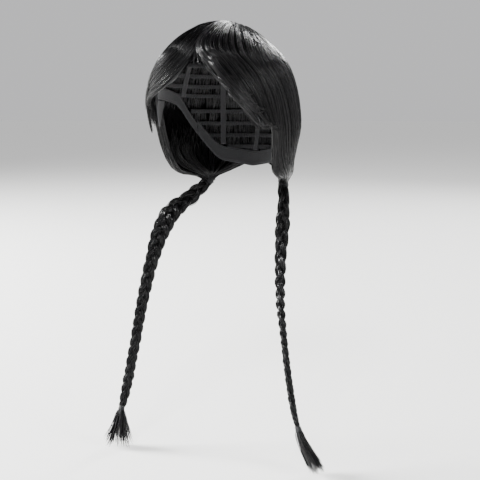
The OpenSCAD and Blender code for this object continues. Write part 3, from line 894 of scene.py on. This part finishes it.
def fabric_material(name, low, high, scale):
    """Dark woven cloth: threads cross at the weave's scale, and the colour follows the tone of each part."""
    made, shader, tree = new_material(name, low, 0.75)
    shader.inputs["Sheen Weight"].default_value = 0.15
    shader.inputs["Specular IOR Level"].default_value = 0.25
    place = tree.nodes.new("ShaderNodeTexCoord")
    weave = tree.nodes.new("ShaderNodeTexVoronoi")
    weave.inputs["Scale"].default_value = scale
    tree.links.new(place.outputs["Object"], weave.inputs["Vector"])
    tone = tree.nodes.new("ShaderNodeAttribute")
    tone.attribute_name = "tone"
    both = tree.nodes.new("ShaderNodeMath")
    both.operation = "MULTIPLY_ADD"
    both.inputs[1].default_value = 0.5
    tree.links.new(weave.outputs["Distance"], both.inputs[0])
    tree.links.new(tone.outputs["Fac"], both.inputs[2])
    link_ramp(tree, both.outputs["Value"], low, high, shader.inputs["Base Color"])
    link_bump(tree, weave.outputs["Distance"], 0.0003, shader, strength=0.6)
    return made


NET = fabric_material("cap_net", (0.006, 0.006, 0.007), (0.03, 0.03, 0.033), 1400)
ELASTIC = fabric_material("elastic_tape", (0.008, 0.008, 0.009), (0.05, 0.05, 0.054), 1200)
TAPE = fabric_material("weft_tape", (0.006, 0.006, 0.007), (0.035, 0.035, 0.038), 1100)


def net_edge(w):
    return np.maximum(NET_LOW, cap_rim(w) + BAND_HEIGHT + 0.5)


def crown_net():
    """Stretch net over the crown: waving threads that meet their neighbours, and a rolled edge."""
    shape = Shape()
    spacing, wave_length, middle = 4.0, 7.0, 0.5 * CAP_WALL
    for i, x in enumerate(np.arange(-74, 75, spacing)):
        y = np.arange(-94, 94, wave_length / 10)
        wavy = x + 0.5 * spacing * np.sin(2 * math.pi * y / wave_length + math.pi * i)
        inside = (wavy / (HEAD_SIDE + middle)) ** 2 + (y / (HEAD_LENGTH + middle)) ** 2
        z = (HEAD_TOP + middle) * np.sqrt(np.maximum(0, 1 - inside))
        held = z > net_edge(np.degrees(np.arctan2(wavy, -y)))
        if np.count_nonzero(held) > 6:
            add_cord(shape, np.stack([wavy, y, z], axis=-1)[held], 0.3, sides=4, tone=0.5)
    w = np.linspace(0, 360, 181)
    add_cord(shape, on_cap(w, net_edge(w) + 1.0, middle), 0.75, sides=8, tone=0.4)
    finish_piece(shape, "crown_net_threads", NET, "cap_net", "root", "crown_net")


def skin_material():
    """Thin matt film in a skin tone, with pores and a slight mottle."""
    made, shader, tree = new_material("crown_skin", (0.5, 0.36, 0.28), 0.6)
    shader.inputs["Subsurface Weight"].default_value = 0.1
    mottle = noise_texture(tree, 260, 6)
    link_ramp(tree, mottle, (0.4, 0.27, 0.2), (0.6, 0.45, 0.36), shader.inputs["Base Color"])
    link_bump(tree, mottle, 0.0002, shader)
    return made


def crown_patch():
    """Round of skin film below the whorl, dotted with the knots that hold the crown hair."""
    shape = Shape()
    low, inner, outer = 96, WEFT_IN, WEFT_IN + CAP_WALL
    share = np.linspace(0, 1, 15)[None, :]
    w = np.linspace(0, 360, 65)[:, None]

    def cup(t, gather):
        angle = np.arccos(low / (HEAD_TOP + t)) * (1 - gather)
        return np.stack([(HEAD_SIDE + t) * np.sin(angle) * np.sin(np.radians(w)),
                         -(HEAD_LENGTH + t) * np.sin(angle) * np.cos(np.radians(w)),
                         (HEAD_TOP + t) * np.cos(angle) + 0 * w], axis=-1)

    add_slab(shape, cup(outer, share * 0.995), cup(inner, share * 0.995), 0.5)
    finish_piece(shape, "crown_patch_film", skin_material(), "crown_skin", "root", "crown_patch")
    knots = Shape()
    grid = np.arange(-34, 35, 2.4)
    x, y = np.meshgrid(grid, grid * 1.2)
    x, y = x.ravel(), y.ravel()
    rise = HEAD_TOP + inner
    z = rise * np.sqrt(np.maximum(0, 1 - (x / (HEAD_SIDE + inner)) ** 2 - (y / (HEAD_LENGTH + inner)) ** 2))
    held = z > low + 0.8
    base = np.stack([x, y, z - 0.15], axis=-1)[held]
    ends = base[:, None] + np.stack([np.linspace(-0.5, 0.5, 4), np.zeros(4), np.zeros(4)], axis=-1)[None]
    add_tubes(knots, ends, np.array([0.2, 0.42, 0.42, 0.2])[None, :], sides=5, tones=np.full(len(base), 0.3))
    made = knots.piece("crown_knots", COMBED, "combed_hair")
    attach(made, "root")


def band(name, node, w0, w1, height):
    """Edge band: ribbed elastic with rolled hems and two rows of stitches on its inner face."""
    shape = Shape()
    add_strip(shape, w0, w1, cap_rim, height, 0.1, CAP_WALL - 0.1, rib=0.14, tone=0.2)
    w = np.linspace(w0, w1, int(abs(w1 - w0) / 1.5))
    for up in (0.6, height - 0.6):
        add_cord(shape, on_cap(w, cap_rim(w) + up, CAP_WALL / 2), 0.62, tone=0.45)
    for up in (2.6, height - 2.6):
        add_stitches(shape, w, cap_rim(w) + up, 0.0)
    for end in (w0 + 0.6, w1 - 0.6):
        seam = np.full(12, end)
        add_stitches(shape, seam, cap_rim(seam) + np.linspace(1, height - 1, 12), 0.0, length=1.1, gap=0.3,
                     slant=0.9)
    finish_piece(shape, name, ELASTIC, "elastic_tape", "root", node)


def rib(name, node, w, half_turn):
    """Elastic rib from the band up to the net, corded along its length and bar-tacked at its ends."""
    height = BAND_HEIGHT + 3 if abs(w) > 119 else BAND_HEIGHT - 2
    foot = max(cap_rim(np.array([w - half_turn, w + half_turn]))) + height + 1
    shape = Shape()
    z = np.linspace(foot, NET_LOW - 1, 60)
    lines = np.linspace(w - half_turn, w + half_turn, 9)
    outer = np.stack([on_cap(a, z, CAP_WALL - 0.15 + 0.15 * (i % 2)) for i, a in enumerate(lines)])
    inner = np.stack([on_cap(a, z, 0.2 - 0.2 * (i % 2)) for i, a in enumerate(lines)])
    add_slab(shape, outer, inner, 0.2)
    for a in (w - half_turn * 0.72, w + half_turn * 0.72):
        add_stitches(shape, np.full(60, a), z, 0.0, length=1.8, gap=0.9)
    for end in (foot + 1, NET_LOW - 2):
        across = np.linspace(w - half_turn * 0.8, w + half_turn * 0.8, 12)
        add_stitches(shape, across, np.full(12, end), 0.0, length=1.0, gap=0.15, slant=1.2)
    finish_piece(shape, name, ELASTIC, "elastic_tape", "root", node)


def weft(name, node, w0, w1, low, seed, hang=16):
    """Weft row: a folded tape, three stitch lines, and the roots of its hair hanging from it."""
    shape = Shape()
    add_strip(shape, w0, w1, low, WEFT_HEIGHT, WEFT_IN + 0.1, WEFT_OUT - 0.2, rows=5, rib=0.1, pitch=3,
              tone=0.15)
    w = np.linspace(w0, w1, int(abs(w1 - w0) / 2))
    add_cord(shape, on_cap(w, low(w) + WEFT_HEIGHT - 0.5, 0.5 * (WEFT_IN + WEFT_OUT)), 0.62, tone=0.3)
    for up in (1.0, 2.5, 3.8):
        add_stitches(shape, w, low(w) + up, WEFT_IN - 0.05, length=1.7, gap=0.7, slant=0.7, radius=0.2)
    rng = np.random.default_rng(seed)
    count, rings = int(abs(w1 - w0) * 2.2), 7
    root = rng.uniform(w0 + 0.5, w1 - 0.5, count)[:, None]
    share = np.linspace(0, 1, rings)[None, :]
    long = rng.uniform(0.7, 1.2, count)[:, None] * hang
    lean = root + rng.normal(0, 1.0, count)[:, None] * share
    away = WEFT_OUT - 0.5 + 2.2 * share * rng.uniform(0.4, 1, (count, 1))
    paths = on_cap(lean, low(root) + 3 - long * share, away)
    size = 0.3 * taper(share, 0.3, 0.2)
    add_tubes(shape, paths, np.broadcast_to(size, (count, rings)), tones=np.zeros(count))
    finish_piece(shape, name, TAPE, "weft_tape", "root", node)


def ear_tab(name, node, hand, body):
    """Soft tab in front of the ear, hemmed along its lower edge, with a sewn pocket for its steel stay."""
    shape = Shape()
    a, b = (60, 78) if hand > 0 else (-78, -60)
    w = np.linspace(a, b, 37)[:, None]
    z = tab_edge(w) + (TAB_TOP - tab_edge(w)) * np.linspace(0, 1, 13)[None, :]
    ripple = 0.1 * (np.arange(37)[:, None] % 2)
    add_slab(shape, on_cap(w, z, CAP_WALL - 0.1 + ripple), on_cap(w, z, 0.1 - ripple), 0.25)
    edge = np.linspace(a + 0.3, b - 0.3, 40)
    add_cord(shape, on_cap(edge, tab_edge(edge) + 0.4, CAP_WALL / 2), 0.6, tone=0.45)
    add_stitches(shape, edge, np.minimum(tab_edge(edge) + 3, TAB_TOP - 1), 0.0, length=1.8, gap=0.9)
    for side in (-2.4, 2.4):
        down = np.linspace(-7, TAB_TOP - 2, 20)
        add_stitches(shape, np.full(20, hand * 69 + side), down, 0.0, length=1.6, gap=0.8)
    finish_piece(shape, name, ELASTIC, "cap_net", body, node)


def strap_edge(w):
    return cap_rim(w) + STRAP_RISE


def strap(name, node, w0, w1):
    """Adjusting strap: narrow corded elastic that lies on the nape band."""
    shape = Shape()
    add_strip(shape, w0, w1, strap_edge, STRAP_WIDTH, CAP_WALL + 0.25, CAP_WALL + 0.75, step=0.8, rows=8,
              rib=0.12, tone=0.55)
    w = np.linspace(w0, w1, 30)
    for up in (0.5, STRAP_WIDTH - 0.5):
        add_cord(shape, on_cap(w, strap_edge(w) + up, CAP_WALL + 0.5), 0.4, tone=0.6)
    finish_piece(shape, name, ELASTIC, "elastic_tape", "root", node)


def loops(name, node, hand):
    """Three sewn thread loops that the strap's end hooks into."""
    shape = Shape()
    for w in (164, 169, 174):
        z = strap_edge(np.array([w]))[0] + np.linspace(0, STRAP_WIDTH, 24)
        high = CAP_WALL + 0.4 + 0.9 * np.sin(np.linspace(0, math.pi, 24))
        for turn in (-0.35, 0, 0.35):
            add_cord(shape, on_cap(hand * (w + turn), z, high), 0.34, tone=0.7)
        for end in (z[0], z[-1]):
            across = np.linspace(hand * w - 1, hand * w + 1, 8)
            add_stitches(shape, across, np.full(8, end), CAP_WALL + 0.5, length=0.7, gap=0.1)
    finish_piece(shape, name, ELASTIC, "elastic_tape", "root", node)


def steel_material():
    """Blackened steel with slight wear."""
    made, shader, tree = new_material("steel", (0.05, 0.05, 0.05), 0.5)
    shader.inputs["Metallic"].default_value = 1
    wear = noise_texture(tree, 900, 4)
    link_range(tree, wear, 0.45, 0.6, shader.inputs["Roughness"])
    link_ramp(tree, wear, (0.03, 0.03, 0.033), (0.07, 0.07, 0.073), shader.inputs["Base Color"])
    link_bump(tree, wear, 0.00006, shader)
    return made


crown_net()
crown_patch()
band("front_band_elastic", "front_band", -57.5, 57.5, BAND_HEIGHT)
band("nape_band_elastic", "nape_band", 120, 240, BAND_HEIGHT + 3)
rib("rib_back_elastic", "rib_back", 180, 2.4)
weft("weft_front_tape", "weft_front", -40, 40, lambda w: cap_rim(w) + 4, 60, hang=9)
for row, (height, begin) in enumerate(WEFT_ROWS, start=1):
    weft(f"weft_row_{row}_tape", f"weft_row_{row}", begin, 360 - begin, lambda w, z=height: z + 0 * w,
         60 + row)
STEEL = steel_material()
for hand, word in WORD.items():
    band(f"side_band_{word}_elastic", f"side_band_{word}", *sorted((hand * 58, hand * 119.5)),
         BAND_HEIGHT - 2)
    rib(f"rib_back_{word}_elastic", f"rib_back_{word}", hand * 145, 2.6)
    rib(f"rib_side_{word}_elastic", f"rib_side_{word}", hand * 104, 2.8)
    ear_tab(f"ear_tab_{word}_cloth", f"ear_tab_{word}", hand, f"ear_flap_{word}")
    strap(f"adjuster_strap_{word}_elastic", f"adjuster_strap_{word}", *sorted((hand * 134, hand * 160)))
    loops(f"adjuster_loops_{word}_thread", f"adjuster_loops_{word}", hand)
    for node in (f"ear_stay_{word}", f"adjuster_hook_{word}"):
        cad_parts[node].data.materials.clear()
        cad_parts[node].data.materials.append(STEEL)

# ---------------------------------------------------------------- floor, light and camera


def make_floor():
    mesh = bpy.data.meshes.new("floor")
    half = 60
    mesh.from_pydata([(-half, -half, FLOOR), (half, -half, FLOOR), (half, half, FLOOR), (-half, half, FLOOR)],
                     [], [(0, 1, 2, 3)])
    made = bpy.data.objects.new("floor", mesh)
    bpy.context.scene.collection.objects.link(made)
    material, shader, _ = new_material("floor", (0.5, 0.5, 0.49), 0.8)
    shader.inputs["Emission Color"].default_value = (0.8, 0.8, 0.8, 1)
    shader.inputs["Emission Strength"].default_value = 0.62
    mesh.materials.append(material)


def soft_light(name, place, size, power):
    """A square area light that faces the hair."""
    data = bpy.data.lights.new(name, "AREA")
    data.shape = "SQUARE"
    data.size = size
    data.energy = power
    made = bpy.data.objects.new(name, data)
    made.location = place
    aim = np.array((0, 0, 0.0)) - np.array(place)
    tilt = math.atan2(math.hypot(aim[0], aim[1]), -aim[2])
    made.rotation_euler = (tilt, 0, math.atan2(aim[1], aim[0]) - math.pi / 2)
    bpy.context.scene.collection.objects.link(made)


def make_light():
    soft_light("key", (-3.0, -0.8, 1.0), 1.1, 1050)
    soft_light("back", (0.2, 2.8, 1.7), 0.8, 120)
    soft_light("side", (3.0, 0.0, 0.9), 1.0, 120)
    soft_light("front", (0.4, -2.6, 2.8), 1.2, 200)
    make_world()


def make_world():
    """Pale all round at eye level, and dimmer overhead."""
    world = bpy.data.worlds.new("studio")
    world.use_nodes = True
    tree = world.node_tree
    place = tree.nodes.new("ShaderNodeTexCoord")
    parts = tree.nodes.new("ShaderNodeSeparateXYZ")
    tree.links.new(place.outputs["Generated"], parts.inputs["Vector"])
    background = tree.nodes["Background"]
    link_ramp(tree, parts.outputs["Z"], (0.66, 0.66, 0.67), (0.1, 0.1, 0.1), background.inputs["Color"],
              ends=(0.3, 0.8))
    background.inputs["Strength"].default_value = 1.0
    bpy.context.scene.world = world


def make_camera():
    """The photograph's view: 29 degrees to the wearer's left, level with the head, tilted down."""
    azimuth, yaw, tilt = math.radians(29), math.radians(1.22), math.radians(9.1)
    distance = 0.97
    data = bpy.data.cameras.new("camera")
    data.lens = 57.98
    data.sensor_width = 36
    made = bpy.data.objects.new("camera", data)
    made.location = (distance * math.sin(azimuth), -distance * math.cos(azimuth), 0)
    made.rotation_euler = (math.pi / 2 - tilt, 0, azimuth - yaw)
    bpy.context.scene.collection.objects.link(made)
    bpy.context.scene.camera = made


make_floor()
make_light()
make_camera()
